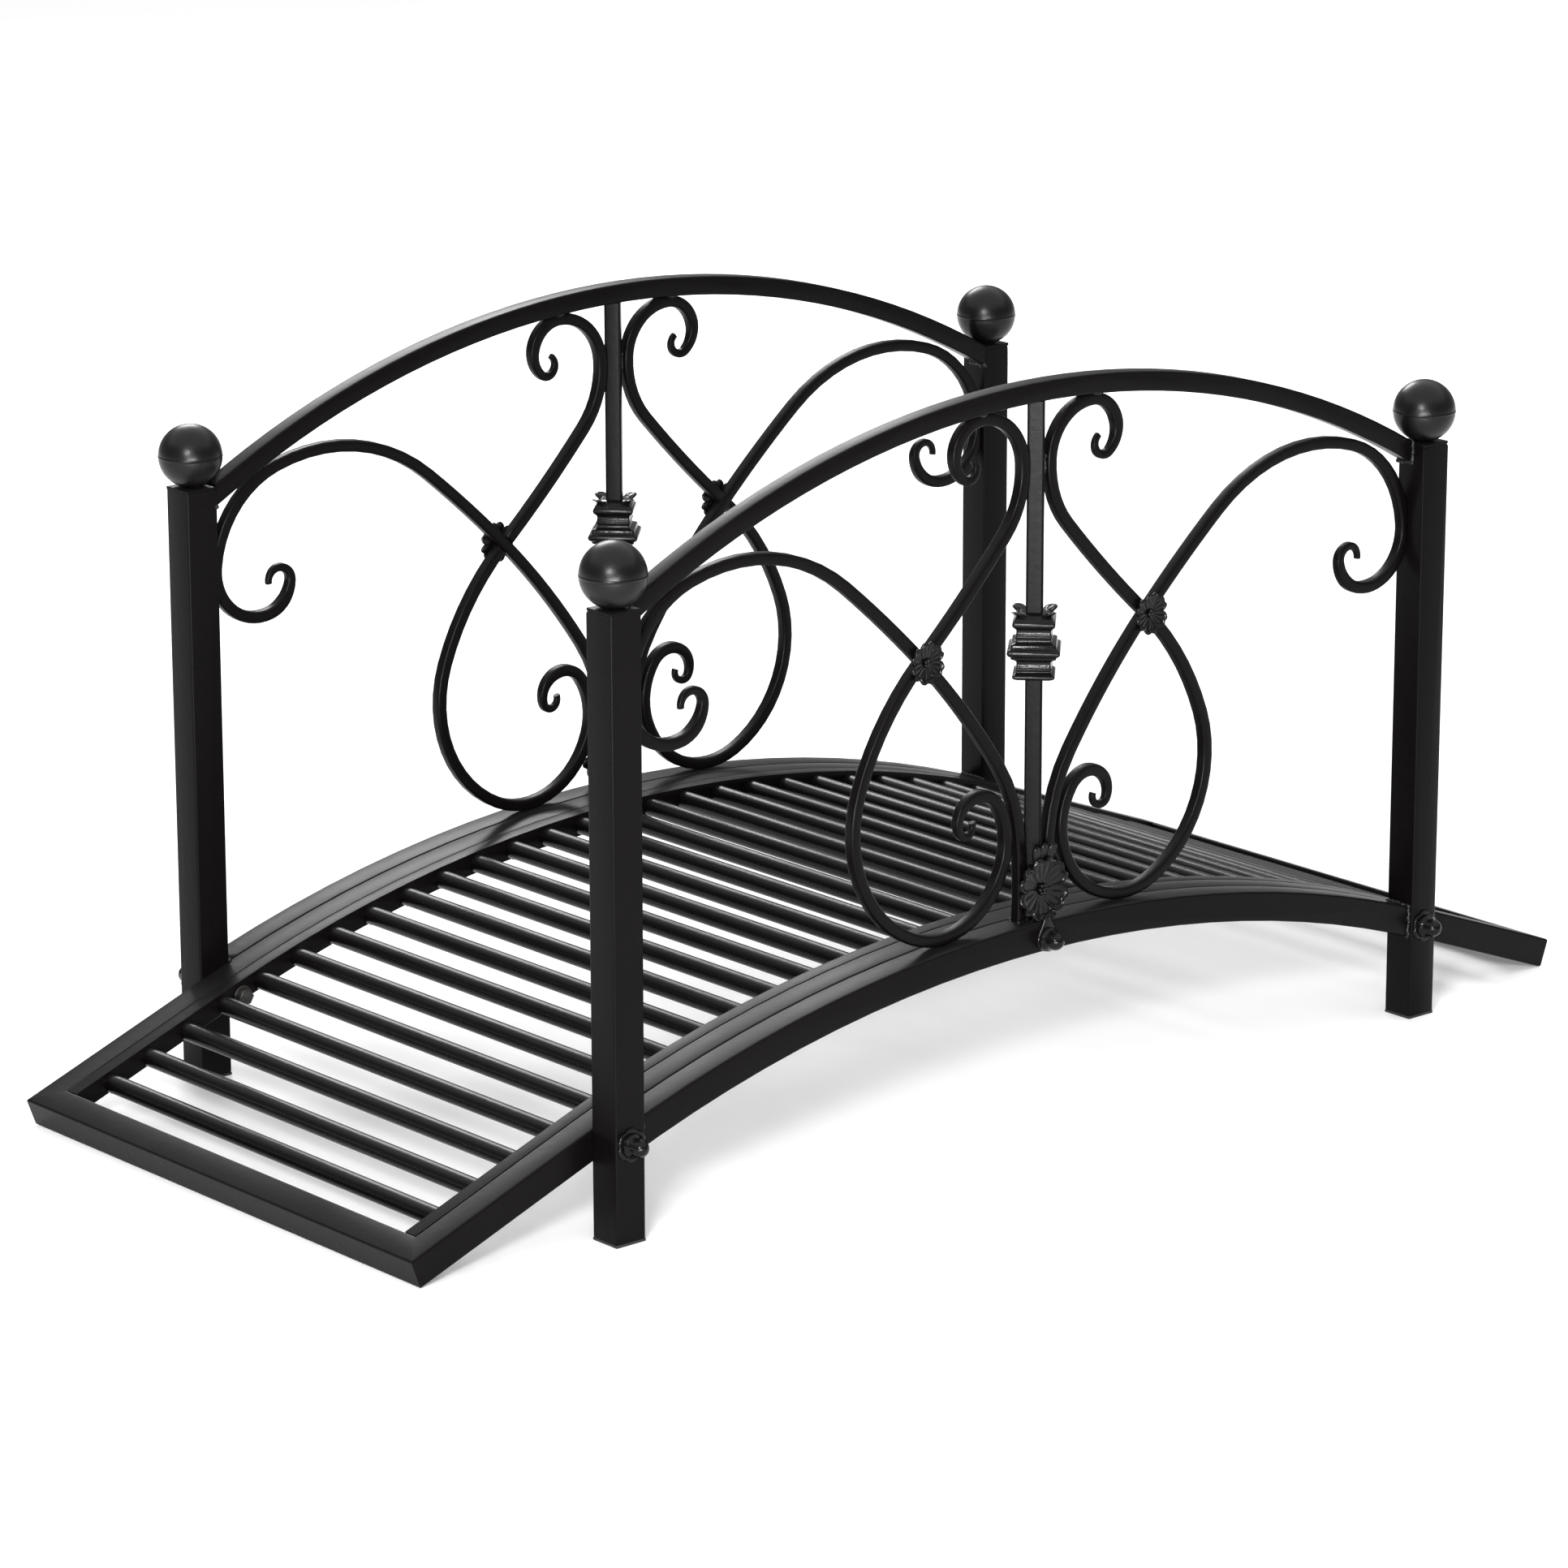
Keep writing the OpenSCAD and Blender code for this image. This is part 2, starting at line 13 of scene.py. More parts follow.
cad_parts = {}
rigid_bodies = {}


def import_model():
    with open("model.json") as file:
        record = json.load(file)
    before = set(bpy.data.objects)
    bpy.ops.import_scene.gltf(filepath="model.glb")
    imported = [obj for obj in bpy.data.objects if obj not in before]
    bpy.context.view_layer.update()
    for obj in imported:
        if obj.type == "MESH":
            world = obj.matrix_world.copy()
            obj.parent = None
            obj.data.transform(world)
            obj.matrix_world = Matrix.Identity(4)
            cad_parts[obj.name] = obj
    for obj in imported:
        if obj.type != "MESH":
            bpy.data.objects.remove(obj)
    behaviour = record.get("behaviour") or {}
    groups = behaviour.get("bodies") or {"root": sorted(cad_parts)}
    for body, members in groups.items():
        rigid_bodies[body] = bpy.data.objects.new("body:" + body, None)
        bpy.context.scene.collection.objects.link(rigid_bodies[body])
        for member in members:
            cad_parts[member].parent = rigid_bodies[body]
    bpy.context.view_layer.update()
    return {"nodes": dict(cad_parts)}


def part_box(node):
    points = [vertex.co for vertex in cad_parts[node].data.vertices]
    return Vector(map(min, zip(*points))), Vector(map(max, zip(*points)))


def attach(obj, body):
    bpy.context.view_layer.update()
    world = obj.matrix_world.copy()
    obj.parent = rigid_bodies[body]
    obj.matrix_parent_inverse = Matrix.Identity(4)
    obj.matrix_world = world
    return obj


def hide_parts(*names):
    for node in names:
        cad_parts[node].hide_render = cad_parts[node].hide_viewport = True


bl_info = {
    "name": "Arched Garden Bridge",
    "version": (1, 0, 0),
    "blender": (4, 5, 0),
    "location": "View3D > Sidebar > Bridge",
    "description": "Finishes an arched garden bridge around its frame",
    "category": "Object",
}

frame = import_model()

MM = 0.001
# Shortest edge of a tube that is rounded, which leaves its bores alone.
LONG_EDGE = 5 * MM
# Two faces that turn by more than this meet at a sharp edge.
SHARP = math.cos(math.radians(34))
# How far apart corners may be and still be joined, on straight steel and on curled bars.
WELD_FINE = 0.02 * MM
WELD_BAR = 0.25 * MM
# Spacing of the deck's slats, and height of the weld on a bottom rail's end.
SLAT_PITCH = 0.0302
RAIL_END_HEIGHT = 0.0215
SIDES = {"near": -1, "far": 1}
ENDS = {"left": -1, "right": 1}
ROOT = "root"


# ---- Sizes and colours a user would change ----


class BridgeFinish(bpy.types.PropertyGroup):
    """Colours and gloss of the bridge's coatings."""

    coat: FloatVectorProperty(
        name="Powder coat", description="Colour of the satin black coat on tube and bar",
        subtype="COLOR", size=3, min=0, max=1, default=(0.0014, 0.0010, 0.0012))
    dust: FloatVectorProperty(
        name="Dust", description="Colour of the fine dust on faces that look up",
        subtype="COLOR", size=3, min=0, max=1, default=(0.017, 0.016, 0.0164))
    enamel: FloatVectorProperty(
        name="Enamel", description="Colour of the glossy coat on the cast pieces",
        subtype="COLOR", size=3, min=0, max=1, default=(0.0012, 0.0010, 0.0011))
    coat_roughness: FloatProperty(
        name="Coat roughness", description="Roughness of the powder coat",
        subtype="FACTOR", min=0, max=1, default=0.31)
    enamel_roughness: FloatProperty(
        name="Enamel roughness", description="Roughness of the cast pieces' coat",
        subtype="FACTOR", min=0, max=1, default=0.17)


class BridgeSteel(bpy.types.PropertyGroup):
    """How round the steel's corners are."""

    tube_corner: FloatProperty(
        name="Tube corner", description="Radius of the square tubes' corners",
        unit="LENGTH", min=0.0002, max=0.003, default=0.0014)
    bar_corner: FloatProperty(
        name="Bar corner", description="Radius of the scroll bars' corners",
        unit="LENGTH", min=0.0002, max=0.003, default=0.0019)
    small_corner: FloatProperty(
        name="Small corner", description="Radius of plates' and fasteners' corners",
        unit="LENGTH", min=0.0001, max=0.001, default=0.0005)
    tip_depth: FloatProperty(
        name="Tip depth", description="Depth of a scroll's drawn-down tip, as a share of the bar's",
        subtype="FACTOR", min=0.3, max=1, default=0.5)
    tip_length: FloatProperty(
        name="Tip length", description="Length over which a scroll's tip is drawn down",
        unit="LENGTH", min=0.01, max=0.08, default=0.045)


class BridgeWelds(bpy.types.PropertyGroup):
    """Size of the weld beads."""

    bead: FloatProperty(
        name="Bead", description="Radius of the weld beads",
        unit="LENGTH", min=0.0005, max=0.004, default=0.0019)
    seed: IntProperty(
        name="Seed", description="Changes how the beads' ripples fall", min=0, max=999, default=7)


class BridgeStage(bpy.types.PropertyGroup):
    """Camera and light."""

    turn: FloatProperty(
        name="Turn", description="Camera's turn about the bridge",
        subtype="ANGLE", default=math.radians(-40.783))
    tilt: FloatProperty(
        name="Tilt", description="How far the camera looks down",
        subtype="ANGLE", default=math.radians(15.65))
    roll: FloatProperty(
        name="Roll", description="Camera's roll", subtype="ANGLE", default=math.radians(-0.119))
    place: FloatVectorProperty(
        name="Place", description="Where the camera stands",
        subtype="TRANSLATION", unit="LENGTH", size=3, default=(-2.6411, -3.0281, 1.3065))
    lens: FloatProperty(
        name="Lens", description="Focal length in millimetres", min=20, max=300, default=144.03)
    daylight: FloatProperty(
        name="Daylight", description="Strength of the studio's even light", min=0, max=5, default=1.0)


# ---- Working helpers ----


def pick_only(*things):
    """Selects these objects and makes the first one active."""
    for other in bpy.context.view_layer.objects:
        other.select_set(False)
    for thing in things:
        thing.select_set(True)
    bpy.context.view_layer.objects.active = things[0]


def in_edit_mode(thing, *steps):
    """Runs edit-mode steps on all of one object's mesh."""
    pick_only(thing)
    bpy.ops.object.mode_set(mode="EDIT")
    bpy.ops.mesh.select_all(action="SELECT")
    for step in steps:
        step()
    bpy.ops.object.mode_set(mode="OBJECT")


def settle(thing):
    """Puts an object's place, turn and size into its mesh."""
    pick_only(thing)
    bpy.ops.object.transform_apply(location=True, rotation=True, scale=True)


def use_modifier(thing, kind, **settings):
    """Adds one modifier and applies it."""
    pick_only(thing)
    tool = thing.modifiers.new(kind.lower(), kind)
    for key, value in settings.items():
        setattr(tool, key, value)
    bpy.ops.object.modifier_apply(modifier=tool.name)


def smooth(thing, degrees=32):
    pick_only(thing)
    bpy.ops.object.shade_smooth_by_angle(angle=math.radians(degrees))


def joined(name, things):
    """Joins several objects into one, under one name."""
    pick_only(*things)
    if len(things) > 1:
        bpy.ops.object.join()
    whole = bpy.context.view_layer.objects.active
    whole.name = name
    whole.data.name = name
    return whole


def hand_over(thing, finish, slot, *nodes):
    """Gives a finished piece its material and its body, and hides the nodes it stands for."""
    thing.data.materials.clear()
    thing.data.materials.append(finish)
    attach(thing, ROOT)
    if nodes:
        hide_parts(*nodes)
    return thing


def copied(thing, name, across=False, along=False):
    """A mirrored copy of a finished piece, with its own mesh and its faces turned outwards."""
    pick_only(thing)
    bpy.ops.object.duplicate(linked=False)
    twin = bpy.context.view_layer.objects.active
    twin.name = name
    twin.data.name = name
    twin.scale = (-1 if along else 1, -1 if across else 1, 1)
    settle(twin)
    in_edit_mode(twin, lambda: bpy.ops.mesh.normals_make_consistent(inside=False))
    return twin


def four_of(thing, base, finish, slot, node):
    """Hands over a near left piece and its three mirrored copies."""
    for side, across in SIDES.items():
        for end, along in ENDS.items():
            name = f"{base}_{side}_{end}"
            if side == "near" and end == "left":
                piece = thing
                piece.name = name
                piece.data.name = name
            else:
                piece = copied(thing, name, across > 0, along > 0)
            hand_over(piece, finish, slot, f"{node}_{side}_{end}")


def two_of(thing, base, finish, slot, node):
    """Hands over a near piece and its mirrored copy on the far side."""
    far = copied(thing, f"{base}_far", across=True)
    thing.name = f"{base}_near"
    thing.data.name = thing.name
    hand_over(thing, finish, slot, f"{node}_near")
    hand_over(far, finish, slot, f"{node}_far")


# ---- Materials ----

# Places of the colour sockets on a Mix node, whose names repeat.
MIX_SHARE, MIX_FIRST, MIX_SECOND, MIX_RESULT = 0, 6, 7, 2


class Wire:
    """A node's output that can be used in arithmetic."""

    def __init__(self, paint, socket):
        self.paint = paint
        self.socket = socket

    def _maths(self, operation, first, second):
        return self.paint.add("ShaderNodeMath", {"operation": operation}, {0: first, 1: second})

    def __add__(self, other):
        return self._maths("ADD", self, other)

    def __sub__(self, other):
        return self._maths("SUBTRACT", self, other)

    def __rsub__(self, other):
        return self._maths("SUBTRACT", other, self)

    def __mul__(self, other):
        return self._maths("MULTIPLY", self, other)

    def __pow__(self, other):
        return self._maths("POWER", self, other)

    __radd__ = __add__
    __rmul__ = __mul__


class Paint:
    """One material and its nodes."""

    def __init__(self, name):
        self.material = bpy.data.materials.new(name)
        self.material.use_nodes = True
        self.tree = self.material.node_tree
        self.shader = self.tree.nodes["Principled BSDF"]
        self.place = self.add("ShaderNodeTexCoord", {}, {}, "Object")

    def add(self, kind, settings, inputs, output=0):
        """Adds a node, sets it, fills its sockets and returns one of its outputs."""
        node = self.tree.nodes.new(kind)
        for key, value in settings.items():
            setattr(node, key, value)
        for key, value in inputs.items():
            self.fill(node.inputs[key], value)
        return Wire(self, node.outputs[output])

    def fill(self, socket, value):
        if isinstance(value, Wire):
            self.tree.links.new(value.socket, socket)
        else:
            socket.default_value = value

    def cloud(self, size, detail=2.0, roughness=0.5, stretch=(1, 1, 1)):
        """Noise from 0 to 1 whose lumps are about as wide as size, in metres."""
        spot = self.add("ShaderNodeMapping", {}, {"Vector": self.place, "Scale": stretch})
        return self.add(
            "ShaderNodeTexNoise", {},
            {"Vector": spot, "Scale": 1 / size, "Detail": detail, "Roughness": roughness}, "Fac")

    def facing_up(self):
        """1 on faces that look up, 0 on faces that look sideways or down."""
        normal = self.add("ShaderNodeNewGeometry", {}, {}, "Normal")
        up = self.add("ShaderNodeSeparateXYZ", {}, {"Vector": normal}, "Z")
        return self.add("ShaderNodeClamp", {}, {"Value": up})

    def ramp(self, value, low, high):
        """0 below low, 1 above high."""
        return self.add(
            "ShaderNodeMapRange", {"interpolation_type": "SMOOTHSTEP"},
            {"Value": value, "From Min": low, "From Max": high})

    def blend(self, share, first, second):
        """A colour between two colours."""
        return self.add(
            "ShaderNodeMix", {"data_type": "RGBA"},
            {MIX_SHARE: share, MIX_FIRST: (*first, 1), MIX_SECOND: (*second, 1)}, MIX_RESULT)

    def bump(self, height, depth, below=None):
        """Bumps of a depth in metres, over another bump."""
        inputs = {"Height": height, "Distance": depth, "Strength": 1.0}
        if below is not None:
            inputs["Normal"] = below
        return self.add("ShaderNodeBump", {}, inputs)

    def finish(self, **sockets):
        for key, value in sockets.items():
            self.fill(self.shader.inputs[key.replace("_", " ")], value)
        return self.material


def powder_coat(name, colour, dust, roughness, dusting=1.0, gloss=0.07):
    """Satin black powder coat: fine orange peel, faint clouds, a little dust on top."""
    paint = Paint(name)
    clouds = paint.cloud(0.07, 4.0, 0.6)
    specks = paint.ramp(paint.cloud(0.0016, 2.0), 0.62, 0.75)
    peel = paint.cloud(0.0011, 2.0)
    waves = paint.cloud(0.006, 2.0)
    settled = paint.facing_up() ** 3.0 * (0.45 + 0.55 * clouds) * dusting
    base = paint.blend(settled * 0.55 + clouds * 0.08 + specks * settled * 0.15, colour, dust)
    rough = roughness + 0.10 * (clouds - 0.5) + 0.10 * settled + 0.05 * (peel - 0.5)
    fine = paint.bump(peel, 0.00004, paint.bump(waves, 0.00010))
    return paint.finish(Base_Color=base, Roughness=rough, Normal=fine, Specular_IOR_Level=gloss)


def cast_enamel(name, colour, dust, roughness):
    """Glossy enamel over a sand casting: soft lumps, fine pits, brighter high spots."""
    paint = Paint(name)
    lumps = paint.cloud(0.004, 3.0, 0.6)
    grain = paint.cloud(0.0008, 2.0)
    pits = 1 - paint.ramp(paint.cloud(0.0014, 1.0), 0.25, 0.36)
    base = paint.blend(lumps * 0.12 + paint.facing_up() * 0.08, colour, dust)
    rough = roughness + 0.10 * (lumps - 0.5) + 0.15 * pits
    fine = paint.bump(grain, 0.00002, paint.bump(lumps - 0.4 * pits, 0.00016))
    return paint.finish(Base_Color=base, Roughness=rough, Normal=fine, Specular_IOR_Level=0.17)


def weld_metal(name, colour, dust):
    """Coated weld bead: glossy where the coat pools, with fine ripples."""
    paint = Paint(name)
    ripples = paint.cloud(0.0009, 3.0, 0.6)
    base = paint.blend(ripples * 0.3, colour, dust)
    return paint.finish(
        Base_Color=base, Roughness=0.22 + 0.2 * ripples, Normal=paint.bump(ripples, 0.00025),
        Specular_IOR_Level=0.28)


def foot_plastic(name):
    """Matte moulded plastic with a fine grain."""
    paint = Paint(name)
    grain = paint.cloud(0.0007, 2.0)
    scuffs = paint.ramp(paint.cloud(0.009, 3.0, 0.7, (1, 1, 4)), 0.55, 0.75)
    base = paint.blend(scuffs * 0.5, (0.008, 0.008, 0.008), (0.03, 0.03, 0.03))
    return paint.finish(Base_Color=base, Roughness=0.6 + 0.15 * grain, Normal=paint.bump(grain, 0.0001))


def black_zinc(name):
    """Blackened zinc plate on hex heads, washers and inserts."""
    paint = Paint(name)
    clouds = paint.cloud(0.005, 3.0)
    base = paint.blend(clouds, (0.012, 0.012, 0.012), (0.04, 0.038, 0.036))
    return paint.finish(
        Base_Color=base, Roughness=0.32 + 0.15 * clouds, Normal=paint.bump(clouds, 0.0001), Metallic=0.6)


def floor_paint(name):
    """Pale matte studio floor with the faintest mottling."""
    paint = Paint(name)
    clouds = paint.cloud(0.9, 3.0)
    base = paint.blend(clouds, (0.86, 0.86, 0.86), (0.9, 0.9, 0.9))
    return paint.finish(
        Base_Color=base, Roughness=0.7 + 0.1 * clouds,
        Normal=paint.bump(paint.cloud(0.004), 0.00002), Specular_IOR_Level=0.1,
        Emission_Color=(1, 1, 1, 1), Emission_Strength=0.15)


PAINTS = {}


def mix_paints(finish):
    coat, dust, enamel = finish.coat, finish.dust, finish.enamel
    satin = finish.coat_roughness
    PAINTS["frame_coat"] = powder_coat("satin_black_powder_coat", coat, dust, satin)
    PAINTS["slat_coat"] = powder_coat("slat_powder_coat", coat, dust, satin - 0.04, 1.0, 0.12)
    PAINTS["ball_coat"] = powder_coat("ball_powder_coat", coat, dust, satin, 0.6, 0.24)
    PAINTS["cast_black"] = cast_enamel("cast_black_enamel", enamel, dust, finish.enamel_roughness)
    PAINTS["weld"] = weld_metal("coated_weld", enamel, dust)
    PAINTS["foot_plastic"] = foot_plastic("foot_plastic")
    PAINTS["black_hardware"] = black_zinc("black_zinc")
    PAINTS["floor"] = floor_paint("studio_floor")


# ---- Steel: the frame's own shapes with rounded corners ----


def faces_beside(shape):
    """The faces on each edge of a mesh."""
    beside = {}
    for face in shape.polygons:
        for key in face.edge_keys:
            beside.setdefault(key, []).append(face)
    return beside


def mark_arrises(shape):
    """Marks for rounding the long edges of a bar bent in the panel's plane, and leaves out its cut ends."""
    beside = faces_beside(shape)
    weight = shape.attributes.new("bevel_weight_edge", "FLOAT", "EDGE")
    for edge in shape.edges:
        faces = sorted(beside.get(edge.key, []), key=lambda face: abs(face.normal.y))
        if len(faces) != 2 or abs(faces[0].normal.y) > 0.1 or abs(faces[1].normal.y) < 0.9:
            continue
        side = faces[0]
        along = [
            other for key in side.edge_keys for other in beside[key]
            if other != side and abs(other.normal.y) < 0.5
        ]
        if any(side.normal.dot(other.normal) > SHARP for other in along):
            weight.data[edge.index].value = 1.0


def mark_corners(shape, shortest):
    """Marks a mesh's outer sharp edges for rounding, and leaves out hollows, open ends and short edges."""
    beside = faces_beside(shape)
    outer = []
    hollow = set()
    for edge in shape.edges:
        faces = sorted(beside.get(edge.key, []), key=lambda face: face.area)
        if len(faces) != 2 or faces[0].normal.dot(faces[1].normal) > SHARP:
            continue
        a, b = (shape.vertices[i].co for i in edge.vertices)
        if (faces[0].center - (a + b) / 2).dot(faces[1].normal) > 0:
            hollow.update(edge.vertices)
        elif (a - b).length >= shortest:
            outer.append((edge.index, faces[0]))
    weight = shape.attributes.new("bevel_weight_edge", "FLOAT", "EDGE")
    for index, face in outer:
        if not any(vertex in hollow for vertex in face.vertices):
            weight.data[index].value = 1.0


def rounded(node, corner, shortest=0.0, bar=False, weld=WELD_FINE):
    """A copy of a node's shape, its facets joined and its outer corners rounded."""
    shape = frame["nodes"][node].data.copy()
    piece = bpy.data.objects.new(f"{node}_rounded", shape)
    shape.name = piece.name
    bpy.context.scene.collection.objects.link(piece)
    in_edit_mode(
        piece,
        lambda: bpy.ops.mesh.remove_doubles(threshold=weld),
        lambda: bpy.ops.mesh.dissolve_limited(angle_limit=math.radians(0.15)),
    )
    if corner:
        if bar:
            mark_arrises(shape)
        else:
            mark_corners(shape, shortest)
        use_modifier(
            piece, "BEVEL", width=corner, segments=4, limit_method="WEIGHT", use_clamp_overlap=True)
    smooth(piece)
    return piece


def tip_ends(node):
    """Middles of a scroll's drawn-down ends, found as small square faces with sharp edges all round."""
    low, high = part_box(node)
    bar_depth = high.y - low.y
    piece = rounded(node, 0)
    shape = piece.data
    beside = faces_beside(shape)
    ends = []
    for face in shape.polygons:
        sides = [(shape.vertices[a].co - shape.vertices[b].co).length for a, b in face.edge_keys]
        full_depth = abs(max(sides) - bar_depth) < 0.05 * MM
        narrow = min(sides) < 0.8 * bar_depth
        if len(sides) == 4 and full_depth and narrow and all(
            abs(face.normal.dot(other.normal)) < 0.5 for key in face.edge_keys for other in beside[key]
            if other != face
        ):
            ends.append(face.center.copy())
    bpy.data.objects.remove(piece)
    return ends


def draw_down(piece, ends, depth_share, length):
    """Thins a bar towards its ends, by the way along the bar from each end."""
    shape = piece.data
    links = {}
    for edge in shape.edges:
        a, b = edge.vertices
        span = (shape.vertices[a].co - shape.vertices[b].co).length
        links.setdefault(a, []).append((b, span))
        links.setdefault(b, []).append((a, span))
    ways = {}
    queue = []
    for end in ends:
        reach = min((vertex.co - end).length for vertex in shape.vertices) + 3.2 * MM
        for vertex in shape.vertices:
            if (vertex.co - end).length < reach:
                heapq.heappush(queue, (0.0, vertex.index))
    while queue:
        way, index = heapq.heappop(queue)
        if index in ways or way > length:
            continue
        ways[index] = way
        for other, span in links[index]:
            if other not in ways:
                heapq.heappush(queue, (way + span, other))
    middle = sum(vertex.co.y for vertex in shape.vertices) / len(shape.vertices)
    for index, way in ways.items():
        share = depth_share + (1 - depth_share) * math.sin(way / length * math.pi / 2)
        spot = shape.vertices[index].co
        spot.y = middle + (spot.y - middle) * share


def node_names(*starts):
    return sorted(name for name in frame["nodes"] if name.startswith(starts))


class BRIDGE_OT_round_tubes(bpy.types.Operator):
    """Rounds the corners of the deck's, posts' and panels' square tubes"""

    bl_idname = "bridge.round_tubes"
    bl_label = "Round the Tubes"

    def execute(self, context):
        corner = context.scene.bridge_steel.tube_corner
        tubes = node_names(
            "deck_side_rail", "deck_end_bar", "slat_strip", "top_rail", "bottom_rail", "centre_bar")
        tubes += [f"post_{side}_{end}" for side in SIDES for end in ENDS]
        for node in tubes:
            hand_over(rounded(node, corner, LONG_EDGE), PAINTS["frame_coat"], "frame_coat", node)
        small = context.scene.bridge_steel.small_corner
        hand_over(rounded("post_caps", small), PAINTS["frame_coat"], "frame_coat", "post_caps")
        hand_over(rounded("post_feet", small), PAINTS["foot_plastic"], "foot_plastic", "post_feet")
        return {"FINISHED"}


class BRIDGE_OT_forge_scrolls(bpy.types.Operator):
    """Rounds the edges of the scroll bars and thins their curled tips"""

    bl_idname = "bridge.forge_scrolls"
    bl_label = "Forge the Scrolls"

    def execute(self, context):
        steel = context.scene.bridge_steel
        for node in node_names("post_scroll", "heart_scroll", "loop_scroll"):
            ends = tip_ends(node)
            piece = rounded(node, steel.bar_corner, bar=True, weld=WELD_BAR)
            use_modifier(piece, "TRIANGULATE", ngon_method="BEAUTY")
            draw_down(piece, ends, steel.tip_depth, steel.tip_length)
            smooth(piece)
            hand_over(piece, PAINTS["frame_coat"], "frame_coat", node)
        return {"FINISHED"}


class BRIDGE_OT_lay_slats(bpy.types.Operator):
    """Smooths the round slats of the deck"""

    bl_idname = "bridge.lay_slats"
    bl_label = "Lay the Slats"

    def execute(self, context):
        hand_over(rounded("deck_slats", 0), PAINTS["slat_coat"], "slat_coat", "deck_slats")
        return {"FINISHED"}


# ---- Turned and cast pieces ----


class BRIDGE_OT_turn_balls(bpy.types.Operator):
    """Makes the ball finials, each pressed from two halves with a seam round the middle"""

    bl_idname = "bridge.turn_balls"
    bl_label = "Turn the Balls"

    def execute(self, context):
        low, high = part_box("ball_near_left")
        radius = (high.x - low.x) / 2
        centre = Vector(((low.x + high.x) / 2, (low.y + high.y) / 2, high.z - radius))
        bpy.ops.mesh.primitive_uv_sphere_add(
            segments=96, ring_count=48, radius=radius - 0.1 * MM, location=centre)
        ball = context.view_layer.objects.active
        settle(ball)
        corners = ball.data.vertices
        seam = [
            edge.index for edge in ball.data.edges
            if all(abs(corners[i].co.z - centre.z) < 0.01 * MM for i in edge.vertices)
        ]
        pick_only(ball)
        bpy.ops.object.mode_set(mode="EDIT")
        bpy.ops.mesh.select_all(action="DESELECT")
        bpy.ops.object.mode_set(mode="OBJECT")
        for index in seam:
            ball.data.edges[index].select = True
        bpy.ops.object.mode_set(mode="EDIT")
        bpy.ops.mesh.select_mode(type="EDGE")
        bpy.ops.mesh.bevel(offset=0.55 * MM, segments=4, profile=0.9, affect="EDGES")
        bpy.ops.mesh.select_mode(type="VERT")
        bpy.ops.object.mode_set(mode="OBJECT")
        for vertex in ball.data.vertices:
            lift = abs(vertex.co.z - centre.z)
            out = Vector((vertex.co.x - centre.x, vertex.co.y - centre.y, 0))
            if lift < 0.6 * MM and out.length > radius * 0.9:
                bulge = 0.24 * MM * math.cos(lift / (0.6 * MM) * math.pi / 2) ** 2
                vertex.co += out.normalized() * bulge
        in_edit_mode(
            ball,
            lambda: bpy.ops.mesh.bisect(
                plane_co=(0, 0, low.z), plane_no=(0, 0, 1), clear_inner=True, use_fill=True),
        )
        smooth(ball, 40)
        four_of(ball, "ball_finial", PAINTS["ball_coat"], "ball_coat", "ball")
        return {"FINISHED"}


def square_plate(side, corner, segments=4):
    """A flat square face with round corners, lying at the origin."""
    bpy.ops.mesh.primitive_plane_add(size=side, location=(0, 0, 0))
    plate = bpy.context.view_layer.objects.active
    in_edit_mode(
        plate, lambda: bpy.ops.mesh.bevel(offset=corner, segments=segments, affect="VERTICES"))
    return plate


def raised(plate, tiers):
    """Raises a flat face through tiers of (width, height), like a turned profile."""
    pick_only(plate)
    bpy.ops.object.mode_set(mode="EDIT")
    bpy.ops.mesh.select_all(action="SELECT")
    for (width, height), (next_width, next_height) in zip(tiers, tiers[1:]):
        bpy.ops.mesh.extrude_region_move(TRANSFORM_OT_translate={"value": (0, 0, next_height - height)})
        ratio = next_width / width
        bpy.ops.transform.resize(value=(ratio, ratio, 1), center_override=(0, 0, 0))
    bpy.ops.mesh.select_all(action="SELECT")
    bpy.ops.mesh.normals_make_consistent(inside=False)
    bpy.ops.object.mode_set(mode="OBJECT")
    return plate


def ridge(low, high, start, end, steps=8):
    """Tiers of a round ridge between two heights, out from width low to width high and back."""
    return [
        (low + (high - low) * math.sin(math.pi * i / steps) ** 0.6, start + (end - start) * i / steps)
        for i in range(steps + 1)
    ]


def cove(first, waist, last, start, end, steps=8):
    """Tiers of a hollow between two heights, in from width first to the waist and out to width last."""
    tiers = []
    for i in range(steps + 1):
        share = i / steps
        edge = first if share < 0.5 else last
        tiers.append((waist + (edge - waist) * abs(2 * share - 1) ** 2.4, start + (end - start) * share))
    return tiers


def collar_leaf(reach, height):
    """A curled leaf that stands at the +X side of the origin and leans out."""
    leaf = petal(height, 1.25 * height, 2.8 * MM, 0.0, -0.5 * height, 0.3 * MM, 0.6 * MM)
    leaf.matrix_world = Matrix.Translation((reach, 0, 0)) @ Matrix.Rotation(math.radians(-62), 4, "Y")
    settle(leaf)
    return leaf


